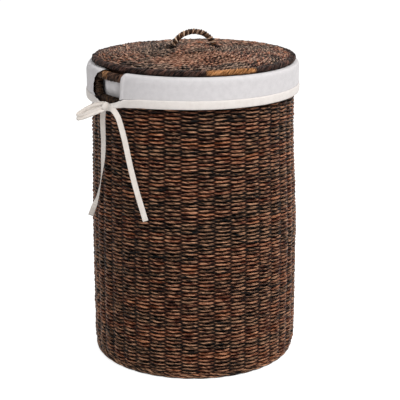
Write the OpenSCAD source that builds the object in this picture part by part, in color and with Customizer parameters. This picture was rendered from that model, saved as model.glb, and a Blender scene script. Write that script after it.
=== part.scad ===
// Round woven laundry basket with a lift-off lid and a removable cotton liner.
// Millimetres, +Z up. The origin is on the floor under the middle of the base.
// The two hand holes face -X and +X. The liner's slot and its bow are at the -X hand hole.

/* [Basket] */
// Outside diameter over the woven wall
basket_d = 400; // [330:1:480]
// Height of the top of the rim above the floor
rim_z = 580; // [450:1:720]
// Number of upright stakes
stake_count = 40; // [36:4:52]
// Diameter of one upright stake
stake_d = 4; // [3:0.1:4.5]
// Thickness of the woven wall, from its inner face to the crest of a strand
wall_t = 10.8; // [10:0.1:13]
// How far an over-strand stands out past the strand that goes under beside it
strand_relief = 2.6; // [1:0.1:3]
// Height of one drawn course of the weave
course_h = 9.4; // [9:0.1:16]

/* [Foot and base] */
// Height of the border that the basket stands on
foot_h = 12; // [10:0.5:20]
// How far the foot is drawn in from the wall
foot_tuck = 1.5; // [0:0.5:5]
// Thickness of one row of the base weave
base_row_d = 6; // [5:0.1:8]
// Diameter of one base spoke
base_spoke_d = 4; // [3:0.1:5]

/* [Rim and hand holes] */
// Height of the wrapped rim
rim_h = 17; // [14:0.5:22]
// Width of the wrapped rim
rim_w = 14; // [13:0.5:18]
// Diameter of the hoop inside the rim
rim_hoop_d = 6; // [5:0.1:7]
// Clear height of a hand hole
hole_h = 28; // [24:1:50]
// Number of stakes that a hand hole interrupts
stakes_cut = 2; // [2:2:4]
// Diameter of the wrapped bar round a hand hole
bar_d = 15; // [12:0.5:17]
// Diameter of the rod inside that bar
bar_rod_d = 6; // [4:0.1:7]
// Corner radius of the bar, to its centre line
bar_corner = 12; // [10:0.5:16]

/* [Liner] */
// Thickness of the liner's cloth as drawn
cloth_t = 2.4; // [1.6:0.1:3]
// Gap between the bag and what stands round it
bag_gap = 1.3; // [1:0.1:5]
// Gap between the turned-down cuff and the bars and rim under it
cuff_gap = 0.9; // [0.6:0.1:4]
// How far the cuff hangs down over the outside
cuff_drop = 57; // [54:1:120]
// Height of the hem that holds the drawstring
hem_h = 15; // [13:0.5:22]
// Clear space inside the hem, across the cloth
hem_bore = 1.8; // [1.5:0.1:3]
// Half of the slot that the cuff leaves at a hand hole, in degrees
slot_half = 12.6; // [10:0.1:22]
// How far the liner is turned from the hand holes, in degrees
liner_turn = -1.1; // [-5:0.1:0]
// Width of the cotton tape
tape_w = 10; // [8:0.5:12]
// Thickness of the cotton tape as drawn
tape_t = 1.2; // [1:0.1:1.4]

/* [Lid] */
// How far the lid's edge lies inside the outside of the wall
lid_inset = 4; // [2:0.5:6]
// Height of the lid's wrapped edge
lid_edge_h = 11; // [10:0.5:24]
// Width of the lid's wrapped edge
lid_edge_w = 13; // [12:0.5:20]
// Diameter of the hoop inside that edge
lid_hoop_d = 6; // [5:0.1:9]
// How far the middle of the lid rises above its edge
lid_rise = 18.5; // [4:0.5:25]
// Thickness of one row of the lid weave
lid_row_d = 6; // [5:0.1:9]
// Diameter of one lid spoke
lid_spoke_d = 3; // [2:0.1:4]
// Diameter of the rod of the locating ring under the lid
locator_d = 8; // [6:0.5:10]
// Gap between the locating ring and the bag
locator_gap = 4; // [2:0.5:10]
// Turn of the lid on the basket, in degrees
lid_turn = -30; // [-180:1:180]

/* [Lid handle] */
// Distance between the two feet of the handle, centre to centre
handle_span = 84; // [70:1:120]
// Height of the handle above the middle of the lid
handle_rise = 29; // [26:1:50]
// Diameter of the wrapped handle
handle_d = 9.6; // [8:0.1:12]
// Diameter of the rod inside the handle
handle_rod_d = 6; // [4:0.1:7]

/* [Hidden] */

$fn = 96;
fit = 0.2;   // clearance round a rod in its socket
hoop_fit = 0.4;  // clearance round a bent rod in its wrapping
seat = 0.3;  // gap between pieces that rest on each other
over = 1;    // how far a cutting shape passes the face it cuts

dark_fibre = "#3a2620";
brown_fibre = "#5a3a2a";
black_fibre = "#2a2020";
rattan = "#8a6a48";
cotton = "#dcd8d4";
cotton_tape = "#e2dad0";

// The wall, from the outside in
basket_r = basket_d / 2;
wall_in_r = basket_r - wall_t;
stake_r = basket_r - (wall_t + strand_relief) / 2;
stake_step = 360 / stake_count;
half_step = stake_step / 2;
stake_bore_d = stake_d + 2 * fit;

// The rim and the bars round the hand holes share one circle just outside the stakes
bar_r = stake_r + 1.2;
rim_low_z = rim_z - rim_h;
rim_mid_z = rim_z - rim_h / 2;
bar_z = rim_low_z - hole_h - bar_d / 2;
bar_swell = 0.4;
wall_top_z = bar_z - (bar_d + bar_swell) / 2 - 0.1;
bar_angle = (stakes_cut + 1) / 2 * stake_step;
corner_angle = atan(bar_corner / bar_r);
upright_r = sqrt(pow(bar_r, 2) + pow(bar_corner, 2));
band_angle = bar_angle + asin((bar_d / 2 + fit) / bar_r);
wall_rows = round((wall_top_z - foot_h) / course_h);

// The foot and the base
foot_out_r = basket_r - foot_tuck;
foot_in_r = basket_r - wall_t - 3;
foot_round = 5;
foot_round_in = 3;
socket_depth = foot_h - 4;
spoke_count = stake_count / 2;
spoke_step = 360 / spoke_count;
base_spoke_z = 5.5;
spoke_seat = 2.5;
hub_r = 16;
hub_under = 1;  // how far a hub reaches below its spokes
hub_shy = 0.4;  // how far its top stays below theirs
base_weave_z = base_spoke_z + base_spoke_d / 2 + fit + base_row_d / 2;
base_top_z = base_weave_z + base_row_d / 2;
row_web = 0.6;  // thickness of the cloth of a weave between two rows, as a share of a row

// The liner hangs inside the rim and turns down over it
bag_out_r = min(bar_r - bar_d / 2, bar_r - rim_w / 2) - bag_gap;
bag_in_r = bag_out_r - cloth_t;
bag_bottom_z = base_top_z + seat;
seam = 0.1;  // gap where two pieces of cloth are sewn together
bag_floor_z = bag_bottom_z + cloth_t + seam;
fold_low_z = rim_z + 0.6;
fold_top_z = fold_low_z + cloth_t;
cuff_in_r = max(upright_r + bar_d / 2, bar_r + rim_w / 2) + cuff_gap;
cuff_out_r = cuff_in_r + cloth_t;
fold_round = 4;
cuff_low_z = fold_top_z - cuff_drop;
hem_top_z = cuff_low_z + hem_h;
hem_wall = 1.3;
window_sill = 3;  // cloth left between the far window and the hem
hem_out_r = cuff_in_r + 2 * hem_wall + hem_bore;
hem_mid_z = cuff_low_z + hem_h / 2;
tape_r = cuff_in_r + hem_wall + hem_bore / 2;
slot_mid = 180 + liner_turn;
slot_start = slot_mid + slot_half;
slot_sweep = 360 - 2 * slot_half;

// The lid lies on the fold of the liner
lid_low_z = fold_top_z + seat;
lid_out_r = basket_r - lid_inset;
lid_hoop_r = lid_out_r - lid_edge_w / 2;
lid_in_r = lid_out_r - lid_edge_w;
lid_hoop_z = lid_low_z + lid_edge_h / 2;
lid_edge_round = 5;
lid_row_r = lid_in_r - seat - lid_row_d / 2;
lid_row_z = lid_low_z + 8.3;
lid_pitch = lid_row_d + 1;
lid_rows = floor((lid_row_r - 6) / lid_pitch);
spoke_drop = lid_row_d / 2 + fit + lid_spoke_d / 2;
lid_slot_h = lid_spoke_d + 1.2;
lid_slope = atan(lid_rise / lid_row_r);
lid_hub_r = 14;
locator_r = bag_in_r - locator_gap - locator_d / 2;
locator_z = lid_low_z - locator_d / 2 - 2;
post_count = 5;
post_d = 5;

// The handle is one arc through both feet, which goes on down through the lid
foot_r = handle_span / 2;
handle_top_z = lid_row_z + lid_rise + lid_row_d / 2 + handle_rise;
arc_top_z = handle_top_z - handle_d / 2;
arc_foot_z = lid_surface_z(foot_r);
arc_h = arc_top_z - arc_foot_z;
arc_r = (pow(foot_r, 2) + pow(arc_h, 2)) / (2 * arc_h);
arc_z = arc_top_z - arc_r;
arc_half = 90 - atan2(arc_foot_z - arc_z, foot_r);
arc_under = (lid_row_d + 3) / arc_r * 180 / PI;
wrap_short = 3.5;  // degrees by which the wrapping stops above the lid at each foot
lashing_d = 15;
lashing_half = 3.4;

// The knot, as [angle, distance from the axis, height]
knot_at = [181.8, basket_r + 12, hem_mid_z - 15.5];
// The two leads, from the slot's edge to the knot. Each point is [share of the way back from the
// knot to the slot's edge, distance out from the wall, height from the middle of the hem].
lead_front_way = [
    [0.97, 5.2, -1], [0.74, 6.3, -2], [0.54, 7.8, -4.5], [0.35, 9.6, -9], [0.19, 11, -13],
];
lead_back_way = [
    [0.975, 5.2, -0.5], [0.915, 5.3, -0.7], [0.84, 6, -4], [0.7, 6.8, -9], [0.47, 7.6, -12],
    [0.3, 9.2, -13.5], [0.14, 11, -15],
];
// The two tails: [angle from the knot, distance out from the wall, height from the middle of the hem]
tail_front_way = [
    [2, 14, -18], [4.2, 14.5, -15], [6.2, 13.5, -17], [8, 12, -23], [9.4, 10.3, -32.5], [10.8, 8.5, -49.5],
    [12.4, 7, -71.5], [14, 6, -95.5], [15.8, 5.6, -122.5], [18.1, 5.4, -150.5], [20.5, 5.4, -177.5],
    [22.6, 5.8, -199.5], [24.5, 6.3, -219.5],
];
tail_back_way = [
    [-1, 11.8, -20.5], [-2.2, 11.2, -27.5], [-3.3, 10, -37.5], [-3.9, 8.8, -51.5], [-4.2, 8, -66.5],
    [-4.5, 7, -87.5], [-5.2, 6.5, -107.5], [-6.2, 6.5, -127.5], [-7.5, 7, -151.5], [-9.4, 8, -178.5],
    [-12.5, 10, -204.5], [-16.2, 12.3, -225.5], [-19.5, 13.8, -242.5],
];
// The bow's one loop, as [x, y, z] from the knot, out on the near side and back on the far side
loop_way = [
    [-3.3, -0.3, 1], [-10.7, 2.4, 0.5], [-19.2, 7.8, -3], [-26.7, 14.4, -8.5], [-34, 21.4, -14.5],
    [-38.1, 26.6, -18.5], [-39.3, 30.7, -20], [-35.1, 30.6, -18], [-29, 27.6, -13.5], [-20.5, 22.2, -7],
    [-12.7, 16, -1.5], [-5.7, 8.6, 1.5], [-1.5, 2, 1.5],
];
knot_d = 12;
knot_l = 8;

// ---- helpers ----

// A point given as [angle, distance from the axis, height]
function around(p) = [p[1] * cos(p[0]), p[1] * sin(p[0]), p[2]];
function unit(v) = v / norm(v);
function lead(way, edge) = [
    for (p = way) [knot_at[0] + p[0] * (edge - knot_at[0]), basket_r + p[1], hem_mid_z + p[2]]
];
function tail(way) = [for (p = way) [knot_at[0] + p[0], basket_r + p[1], hem_mid_z + p[2]]];

// Height of the lid's top at a distance from the axis
function lid_surface_z(r) = lid_row_z + lid_rise * (1 - r / lid_row_r) + lid_row_d / 2;
function lid_row_height(r) = lid_row_z + lid_rise * (1 - r / lid_row_r);

module ring_of(count, step = 0, start = 0) {
    for (i = [0 : count - 1]) rotate(start + i * (step == 0 ? 360 / count : step)) children();
}

// A rectangle with round corners, centred, made of true arcs
module round_box(w, h, r) {
    square([w - 2 * r, h], center = true);
    square([w, h - 2 * r], center = true);
    for (x = [-1, 1], y = [-1, 1]) translate([x * (w / 2 - r), y * (h / 2 - r)]) circle(r);
}

// A tape swept along points, flat to the direction that away gives at each of them
module tape(points, away) {
    n = len(points);
    half_w = tape_w / 2;
    half_t = tape_t / 2;
    edge = tape_t / 2;
    section = [
        [half_w, -half_t / 3], [half_w, half_t / 3], [half_w - edge, half_t], [edge - half_w, half_t],
        [-half_w, half_t / 3], [-half_w, -half_t / 3], [edge - half_w, -half_t], [half_w - edge, -half_t],
    ];
    m = len(section);
    rings = [
        for (i = [0 : n - 1])
            let (
                t = unit(points[min(i + 1, n - 1)] - points[max(i - 1, 0)]),
                side = unit(cross(away[i], t)),
                out = cross(t, side)
            )
            for (s = section) points[i] + side * s[0] + out * s[1]
    ];
    walls = [
        for (i = [0 : n - 2], k = [0 : m - 1])
            let (a = i * m + k, b = i * m + (k + 1) % m)
            each [[a, b, b + m], [a, b + m, a + m]]
    ];
    start = [for (k = [m - 1 : -1 : 0]) k];
    end = [for (k = [0 : m - 1]) (n - 1) * m + k];
    polyhedron(points = rings, faces = concat(walls, [start, end]), convexity = 4);
}

module tape_on_wall(route) {
    tape([for (p = route) around(p)], [for (p = route) [cos(p[0]), sin(p[0]), 0]]);
}

// ---- woven wall ----

// Plain weave over the stakes. Samples are half a stake apart: even ones lie on a stake, where the
// strand is over or under in turn, and odd ones lie between two stakes, where it crosses the wall.
function strand_r(i, j) = basket_r - strand_relief * (i % 2 == 0 ? (i / 2 + j) % 2 : 0.5);

// angles and ids give the samples round the wall. An open shell ends in two flat faces.
module woven_shell(ids, angles, z0, z1, rows, first_row, closed) {
    n = len(ids);
    last = closed ? n - 1 : n - 2;
    outer = [
        for (j = [0 : rows], i = [0 : n - 1])
            around([angles[i], strand_r(ids[i], first_row + j), z0 + (z1 - z0) * j / rows])
    ];
    inner = [for (z = [z0, z1], a = angles) around([a, wall_in_r, z])];
    low = (rows + 1) * n;
    high = low + n;
    top = rows * n;
    skin = [
        for (j = [0 : rows - 1], i = [0 : last])
            let (
                k = (i + 1) % n,
                a = j * n + i,
                b = j * n + k,
                c = b + n,
                d = a + n,
                over_low = (ceil(ids[i] / 2) + first_row + j) % 2 == 0
            )
            each ((ids[i] % 2 == 0) == over_low ? [[a, d, c], [a, c, b]] : [[a, d, b], [d, c, b]])
    ];
    rest = [
        for (i = [0 : last])
            let (k = (i + 1) % n)
            each [
                [low + i, low + k, high + k], [low + i, high + k, high + i],
                [i, k, low + k], [i, low + k, low + i],
                [top + k, top + i, high + i], [top + k, high + i, high + k],
            ]
    ];
    ends = closed ? [] : concat(
        [for (j = [0 : rows - 1]) [low, (j + 1) * n, j * n]],
        [[low, high, top]],
        [for (j = [1 : rows]) [low + n - 1, j * n - 1, (j + 1) * n - 1]],
        [[low + n - 1, top + n - 1, high + n - 1]]
    );
    polyhedron(points = concat(outer, inner), faces = concat(skin, rest, ends), convexity = 6);
}

module stake_bores(z0, z1) {
    ring_of(stake_count, 0, half_step)
        translate([stake_r, 0, z0]) cylinder(d = stake_bore_d, h = z1 - z0, $fn = 24);
}

module wall_weave() {
    ids = [for (i = [0 : 2 * stake_count - 1]) i];
    color(brown_fibre) difference() {
        woven_shell(ids, [for (i = ids) (i + 1) * half_step], foot_h, wall_top_z, wall_rows, 0, true);
        stake_bores(foot_h - over, wall_top_z + over);
    }
}

// The weave beside a hand hole turns back at its bars, so it is one band on each side
module hand_band(turn) {
    first = ceil(band_angle / half_step + 0.2);
    last = stake_count - first;
    ids = concat([1], [for (m = [first : last]) m - 1], [1]);
    angles = concat([band_angle], [for (m = [first : last]) m * half_step], [180 - band_angle]);
    rows = max(2, round((rim_low_z - wall_top_z) / course_h));
    color(brown_fibre) rotate(turn) difference() {
        woven_shell(ids, angles, wall_top_z, rim_low_z, rows, wall_rows, false);
        stake_bores(wall_top_z - over, rim_low_z + over);
    }
}

module hand_band_front() {
    hand_band(180);
}

module hand_band_back() {
    hand_band(0);
}

// Every stake stands in a socket of the foot. It goes up to the rim, or to the bar under a hand hole.
module wall_stakes() {
    z0 = foot_h - socket_depth + fit;
    hoop_z = rim_mid_z - rim_hoop_d / 2 - seat;
    cut = stakes_cut / 2 + 1;
    color(rattan) for (i = [0 : stake_count - 1]) {
        past = i % (stake_count / 2);
        short = past < cut || past >= stake_count / 2 - cut;
        z1 = short ? wall_top_z - fit : hoop_z;
        rotate((i + 0.5) * stake_step) translate([stake_r, 0, z0])
            cylinder(d = stake_d, h = z1 - z0, $fn = 24);
    }
}

// ---- foot and base ----

module foot_border() {
    w = foot_out_r - foot_in_r;
    color(dark_fibre) difference() {
        rotate_extrude() translate([foot_in_r, 0]) intersection() {
            union() {
                translate([0, foot_round]) square([w, foot_h - foot_round]);
                translate([foot_round_in, 0]) square([w - foot_round - foot_round_in, foot_h]);
                translate([0, foot_round_in]) square([w - foot_round, foot_h - foot_round_in]);
                translate([foot_round_in, foot_round_in]) circle(foot_round_in);
                translate([w - foot_round, foot_round]) circle(foot_round);
            }
            square([w, foot_h]);
        }
        stake_bores(foot_h - socket_depth, foot_h + over);
        ring_of(spoke_count, 0, spoke_step / 2)
            translate([foot_in_r - over, 0, base_spoke_z])
                rotate([0, 90, 0]) cylinder(d = base_spoke_d + 2 * fit, h = spoke_seat + over, $fn = 24);
    }
}

module base_spokes() {
    start = hub_r - 1.5;
    length = foot_in_r + spoke_seat - fit - start;
    color(rattan) {
        ring_of(spoke_count, 0, spoke_step / 2)
            translate([start, 0, base_spoke_z]) rotate([0, 90, 0])
                cylinder(d = base_spoke_d, h = length, $fn = 24);
        translate([0, 0, base_spoke_z - base_spoke_d / 2 - hub_under])
            cylinder(r = hub_r, h = base_spoke_d + hub_under - hub_shy);
    }
}

// Concentric rows, round in section and joined by a thinner web. height gives a row's z.
module base_weave() {
    out_r = foot_in_r - seat;
    pitch = base_row_d + 1.5;
    rows = floor((out_r - base_row_d) / pitch);
    web = base_row_d * row_web;
    color(brown_fibre) rotate_extrude() translate([0, base_weave_z]) {
        translate([0, -web / 2]) square([out_r - base_row_d / 2, web]);
        for (i = [0 : rows])
            translate([out_r - base_row_d / 2 - i * pitch, 0]) circle(d = base_row_d, $fn = 32);
    }
}

// ---- rim and hand holes ----

module rim_hoop() {
    color(rattan) rotate_extrude() translate([bar_r, rim_mid_z]) circle(d = rim_hoop_d, $fn = 32);
}

// The wrapping is open below, where the stakes come up to the hoop
module rim_binding() {
    color(dark_fibre) rotate_extrude() difference() {
        translate([bar_r, rim_mid_z]) round_box(rim_w, rim_h, 4);
        translate([bar_r, rim_mid_z]) circle(d = rim_hoop_d + 2 * hoop_fit, $fn = 32);
        translate([stake_r - stake_bore_d / 2, rim_low_z - over]) square([stake_bore_d, rim_h / 2 + over]);
    }
}

// A round bar that follows the wall under a hand hole and turns up at both ends. It swells a little
// where one stretch meets the next.
module hand_hole_path(d, top_z, swell) {
    arc = bar_angle - corner_angle;
    upright_z = bar_z + bar_corner;
    rotate(-arc) rotate_extrude(angle = 2 * arc) translate([bar_r, bar_z]) circle(d = d, $fn = 48);
    for (side = [-1, 1]) {
        rotate(side * arc) translate([bar_r, 0, bar_z]) sphere(d = d + swell, $fn = 48);
        rotate(side * bar_angle) translate([upright_r, 0, upright_z]) sphere(d = d + swell, $fn = 48);
        rotate(side * arc) translate([bar_r, 0, bar_z + bar_corner]) rotate([90, 0, 90])
            rotate(side > 0 ? -90 : 180) rotate_extrude(angle = 90)
                translate([bar_corner, 0]) circle(d = d, $fn = 48);
        rotate(side * bar_angle) translate([upright_r, 0, upright_z])
            cylinder(d = d, h = top_z - upright_z, $fn = 48);
    }
}

module hand_hole_bar() {
    color(black_fibre) difference() {
        hand_hole_path(bar_d, rim_low_z, bar_swell);
        hand_hole_path(bar_rod_d + 2 * hoop_fit, rim_low_z + over, bar_swell);
    }
}

module hand_hole_bar_left() {
    rotate(180) hand_hole_bar();
}

module hand_hole_bar_right() {
    hand_hole_bar();
}

module hand_hole_rods() {
    color(rattan) for (turn = [0, 180]) rotate(turn)
        hand_hole_path(bar_rod_d, rim_low_z - fit, bar_swell / 2);
}

// ---- liner ----

module liner_bottom() {
    color(cotton) translate([0, 0, bag_bottom_z]) cylinder(r = bag_out_r, h = cloth_t);
}

module liner_side() {
    color(cotton) rotate_extrude() translate([bag_in_r, bag_floor_z])
        square([cloth_t, fold_low_z - seam - bag_floor_z]);
}

// A wedge that clears the slot over a hand hole
module slot_cut(mid, z0) {
    reach = 2 * basket_d;
    rotate(mid) translate([0, 0, z0]) linear_extrude(rim_z) polygon([
        [0, 0], reach * [cos(slot_half), -sin(slot_half)], reach * [cos(slot_half), sin(slot_half)],
    ]);
}

// A rectangle from the axis out to r and up to z, whose outer top corner is an arc
module shoulder(r, z, round_r) {
    square([r - round_r, z]);
    square([r, z - round_r]);
    translate([r - round_r, z - round_r]) circle(round_r, $fn = 48);
}

// Over the rim and down outside it. The far slot is a window that the cloth closes below.
module liner_cuff() {
    color(cotton) difference() {
        rotate(slot_start) rotate_extrude(angle = slot_sweep) difference() {
            shoulder(cuff_out_r, fold_top_z, fold_round);
            shoulder(cuff_in_r, fold_low_z, fold_round - cloth_t);
            square([bag_in_r, 2 * rim_z]);
            square([2 * basket_d, hem_top_z]);
        }
        slot_cut(slot_mid - 180, hem_top_z + window_sill);
    }
}

// A casing sewn along the cuff's edge, open at both of its ends
module cuff_hem() {
    color(cotton) rotate(slot_start) rotate_extrude(angle = slot_sweep)
        translate([(cuff_in_r + hem_out_r) / 2, hem_mid_z]) difference() {
            square([hem_out_r - cuff_in_r, hem_h], center = true);
            square([hem_bore, hem_h - 2 * hem_wall], center = true);
        }
}

module drawstring() {
    color(cotton_tape) rotate(slot_start) rotate_extrude(angle = slot_sweep)
        translate([tape_r, hem_mid_z]) square([tape_t, tape_w], center = true);
}

module tie_lead_front() {
    color(cotton_tape) tape_on_wall(lead(lead_front_way, slot_mid + slot_half));
}

module tie_lead_back() {
    color(cotton_tape) tape_on_wall(lead(lead_back_way, slot_mid - slot_half));
}

module tie_tail_front() {
    color(cotton_tape) tape_on_wall(tail(tail_front_way));
}

module tie_tail_back() {
    color(cotton_tape) tape_on_wall(tail(tail_back_way));
}

// The loop stands on its edge and opens sideways
module bow_loop() {
    n = len(loop_way);
    up = [
        for (i = [0 : n - 1])
            let (along = unit(loop_way[min(i + 1, n - 1)] - loop_way[max(i - 1, 0)]))
            cross(along, [0.3, 0.35, 0.9])
    ];
    color(cotton_tape) tape([for (p = loop_way) around(knot_at) + p], up);
}

module tie_knot() {
    color(cotton_tape) translate(around(knot_at)) rotate(knot_at[0] - 90) rotate([0, 90, 0]) {
        cylinder(d = knot_d, h = knot_l, center = true, $fn = 32);
        for (z = [-1, 1]) translate([0, 0, z * knot_l / 2]) sphere(d = knot_d, $fn = 32);
    }
}

// ---- lid ----

module lid_hoop() {
    color(rattan) rotate_extrude() translate([lid_hoop_r, lid_hoop_z]) circle(d = lid_hoop_d, $fn = 32);
}

// The wrapping of the edge is open inwards, where the spokes reach the hoop
module lid_binding() {
    slot_z = lid_row_height((lid_in_r + lid_hoop_r) / 2) - spoke_drop;
    color(dark_fibre) rotate_extrude() difference() {
        translate([lid_hoop_r, lid_hoop_z]) round_box(lid_edge_w, lid_edge_h, lid_edge_round);
        translate([lid_hoop_r, lid_hoop_z]) circle(d = lid_hoop_d + 2 * hoop_fit, $fn = 32);
        translate([lid_in_r - over, slot_z - lid_slot_h / 2]) square([lid_edge_w / 2 + over, lid_slot_h]);
    }
}

module lid_spokes() {
    start = lid_hub_r - 1;
    end_r = lid_hoop_r - lid_hoop_d / 2 - hoop_fit;
    z0 = lid_row_height(0) - spoke_drop;
    color(rattan) rotate(lid_turn) {
        ring_of(spoke_count, 0, spoke_step / 2)
            translate([0, 0, z0]) rotate([0, 90 + lid_slope, 0]) translate([0, 0, start])
                cylinder(d = lid_spoke_d, h = end_r / cos(lid_slope) - start, $fn = 24);
        translate([0, 0, z0 - lid_spoke_d / 2 - hub_under]) cylinder(r = lid_hub_r, h = lid_spoke_d);
    }
}

module lid_weave() {
    web = lid_row_d * row_web;
    color(brown_fibre) rotate(lid_turn) difference() {
        rotate_extrude() {
            polygon([
                [0, lid_row_height(0) - web / 2], [lid_row_r, lid_row_height(lid_row_r) - web / 2],
                [lid_row_r, lid_row_height(lid_row_r) + web / 2], [0, lid_row_height(0) + web / 2],
            ]);
            for (i = [0 : lid_rows]) {
                r = lid_row_r - i * lid_pitch;
                translate([r, lid_row_height(r)]) circle(d = lid_row_d, $fn = 32);
            }
        }
        handle_arc(handle_rod_d + 2 * hoop_fit, arc_half + arc_under + 3);
    }
}

// A ring that drops into the mouth of the bag and keeps the lid in place, lashed to the spokes
module locating_ring() {
    post_z = lid_row_height(locator_r + post_d) - spoke_drop - lid_spoke_d / 2 - fit;
    color(dark_fibre) rotate(lid_turn) {
        rotate_extrude() translate([locator_r, locator_z]) circle(d = locator_d, $fn = 32);
        ring_of(post_count, 0, spoke_step / 2)
            translate([locator_r, 0, locator_z]) cylinder(d = post_d, h = post_z - locator_z, $fn = 24);
    }
}

// ---- lid handle ----

module handle_arc(d, half) {
    translate([0, 0, arc_z]) rotate([90, 0, 0]) rotate(90 - half)
        rotate_extrude(angle = 2 * half) translate([arc_r, 0]) circle(d = d, $fn = 48);
}

module handle_rod() {
    color(rattan) rotate(lid_turn) handle_arc(handle_rod_d, arc_half + arc_under);
}

module handle_wrap() {
    color(black_fibre) rotate(lid_turn) difference() {
        handle_arc(handle_d, arc_half - wrap_short);
        handle_arc(handle_rod_d + 2 * hoop_fit, arc_half + 4);
    }
}

// A lashing round each foot of the handle
module handle_lashings() {
    mid = arc_half - wrap_short - lashing_half - 2.5;
    color(dark_fibre) rotate(lid_turn) for (side = [-1, 1])
        translate([0, 0, arc_z]) rotate([90, 0, 0]) rotate(90 + side * mid - lashing_half)
            rotate_extrude(angle = 2 * lashing_half) translate([arc_r, 0]) difference() {
                circle(d = lashing_d, $fn = 48);
                circle(d = handle_d + 2 * hoop_fit, $fn = 48);
            }
}

foot_border();
base_spokes();
base_weave();
wall_stakes();
wall_weave();
hand_band_front();
hand_band_back();
rim_hoop();
rim_binding();
hand_hole_rods();
hand_hole_bar_left();
hand_hole_bar_right();
liner_bottom();
liner_side();
liner_cuff();
cuff_hem();
drawstring();
tie_lead_front();
tie_lead_back();
tie_knot();
bow_loop();
tie_tail_front();
tie_tail_back();
lid_hoop();
lid_binding();
lid_spokes();
lid_weave();
locating_ring();
handle_rod();
handle_wrap();
handle_lashings();
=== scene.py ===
"""A tall round woven laundry hamper with a loose woven lid and a tied cotton liner.

Each woven or wrapped piece is laid strand by strand, and each cloth piece is a cut sheet.
Lengths are in metres, the origin is the middle of the underside, and +Z is up.
"""

from math import ceil, cos, degrees, floor, pi, radians, sin, sqrt

import bmesh
import bpy
from mathutils import Matrix, Vector, noise


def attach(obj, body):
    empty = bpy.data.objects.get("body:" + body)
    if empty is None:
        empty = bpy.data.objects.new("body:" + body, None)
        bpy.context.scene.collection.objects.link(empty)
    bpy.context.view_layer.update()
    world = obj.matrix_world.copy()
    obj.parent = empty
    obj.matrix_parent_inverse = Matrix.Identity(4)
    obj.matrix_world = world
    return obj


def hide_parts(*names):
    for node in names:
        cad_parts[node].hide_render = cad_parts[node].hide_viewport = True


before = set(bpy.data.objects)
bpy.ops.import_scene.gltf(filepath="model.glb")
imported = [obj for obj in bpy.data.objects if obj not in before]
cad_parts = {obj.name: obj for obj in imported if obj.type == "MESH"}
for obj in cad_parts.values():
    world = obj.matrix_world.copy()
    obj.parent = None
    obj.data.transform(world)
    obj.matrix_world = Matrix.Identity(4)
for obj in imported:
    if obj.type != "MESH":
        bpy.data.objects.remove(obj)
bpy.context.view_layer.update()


def mm(value):
    return value / 1000


# ---- sizes shared with the frame ----

STAKES = 40
STAKE_STEP = 2 * pi / STAKES
STAKE_R = mm(193.3)
SPOKES = 20
COURSE = mm(3.6)  # height of one course of weaving
WALL_LOW, WALL_TOP, BAND_TOP = mm(6.4), mm(519.7), mm(564)
BAR_R, BAR_Z, BAR_CORNER = mm(194.5), mm(527.5), mm(12)
BAR_ANGLE = 1.5 * STAKE_STEP
RIM_Z, RIM_H, RIM_W = mm(571.5), mm(17), mm(14)
LID_R, LID_EDGE_Z, LID_EDGE_H, LID_EDGE_W = mm(189.5), mm(588.8), mm(11), mm(13)
LID_ROW_R, LID_ROW_Z, LID_RISE = mm(179.7), mm(591.6), mm(18.5)
HANDLE_TURN = radians(-30)
UP = Vector((0, 0, 1))
SLOT_START, SLOT_END = radians(191.5), radians(526.3)
WINDOW_START, WINDOW_END = radians(346.3), radians(371.5)


# ---- small helpers ----


def colour(code):
    """An sRGB hex value as the linear colour a shader takes."""
    parts = [int(code[i : i + 2], 16) / 255 for i in (1, 3, 5)]
    return [c / 12.92 if c <= 0.04045 else ((c + 0.055) / 1.055) ** 2.4 for c in parts] + [1]


def add(tree, kind, inputs=None, **settings):
    """Adds one shader node; an input takes a plain value or another node's socket."""
    node = tree.nodes.new("ShaderNode" + kind)
    for key, value in settings.items():
        setattr(node, key, value)
    for key, value in (inputs or {}).items():
        if isinstance(value, bpy.types.NodeSocket):
            tree.links.new(value, node.inputs[key])
        else:
            node.inputs[key].default_value = value
    return node


def ramp(tree, factor, stops):
    """A colour ramp from (position, hex colour) stops."""
    node = add(tree, "ValToRGB", {"Fac": factor})
    elements = node.color_ramp.elements
    while len(elements) < len(stops):
        elements.new(0.5)
    for element, (position, code) in zip(elements, stops):
        element.position = position
        element.color = colour(code)
    return node.outputs["Color"]


def maths(tree, operation, *values):
    """The result of an arithmetic node."""
    return add(tree, "Math", dict(enumerate(values)), operation=operation).outputs[0]


def mapped(tree, value, *ends):
    """A value taken from the range ends[0] to ends[1] over to 0 to 1, or to ends[2] to ends[3]."""
    sockets = dict(zip(("From Min", "From Max", "To Min", "To Max"), ends))
    return add(tree, "MapRange", {"Value": value, **sockets}).outputs["Result"]


def noisy(tree, at, scale=1.0, detail=2.0, rough=0.5):
    """Soft noise, read at a place."""
    sockets = {"Vector": at, "Scale": scale, "Detail": detail, "Roughness": rough}
    return add(tree, "TexNoise", sockets).outputs["Fac"]


def mixed(tree, share, first, second, blend="MIX"):
    """The first colour with a share of the second mixed in."""
    sockets = {"Factor": share, 6: first, 7: second}
    return add(tree, "Mix", sockets, data_type="RGBA", blend_type=blend).outputs[2]


def multiplied(tree, first, second):
    """Two colours multiplied."""
    return mixed(tree, 1.0, first, second, "MULTIPLY")


def joined(tree, x, y, z=0.0):
    """A vector of three values."""
    return add(tree, "CombineXYZ", {"X": x, "Y": y, "Z": z}).outputs[0]


def around(angle, r, z):
    return Vector((r * cos(angle), r * sin(angle), z))


def smooth(a, b, x):
    t = min(1, max(0, (x - a) / (b - a)))
    return t * t * (3 - 2 * t)


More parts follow.
